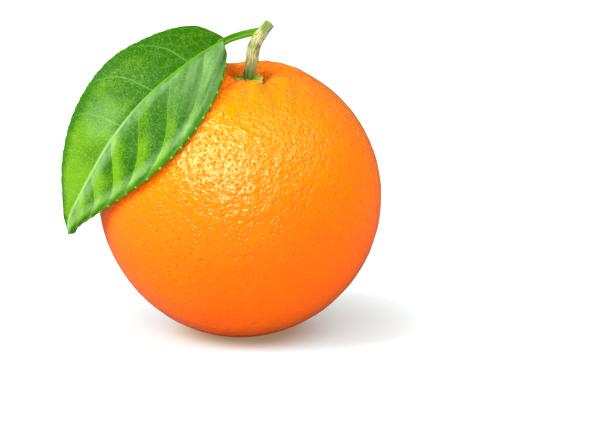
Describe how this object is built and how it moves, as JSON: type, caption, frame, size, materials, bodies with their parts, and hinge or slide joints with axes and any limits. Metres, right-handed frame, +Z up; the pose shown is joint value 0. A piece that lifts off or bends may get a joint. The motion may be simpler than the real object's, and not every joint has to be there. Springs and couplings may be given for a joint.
{
  "type": "orange with leaf",
  "caption": "Whole fresh orange with pitted peel, green calyx, short bent woody stem and one waved leaf on its petiole; stands on a small flat spot.",
  "frame": {"origin": "centre of the small flat spot that the fruit rests on", "axes": "+Z up; -Y towards the front, where the leaf lies over the fruit's upper left; +X to the right as seen from the front"},
  "size_m": [0.0899, 0.0796, 0.091],
  "materials": {
    "peel": "waxy orange peel with fine oil-gland pits",
    "calyx": "dull green, dry at the edges",
    "stem": "green bark with rough straw-coloured cork",
    "petiole": "smooth fresh green",
    "leaf": "waxy green with fine pale glands and veins"
  },
  "bodies": {
    "root": {"fruit": "peel", "calyx": "calyx", "stem": "stem", "petiole": "petiole", "leaf": "leaf"}
  },
  "joints": []
}
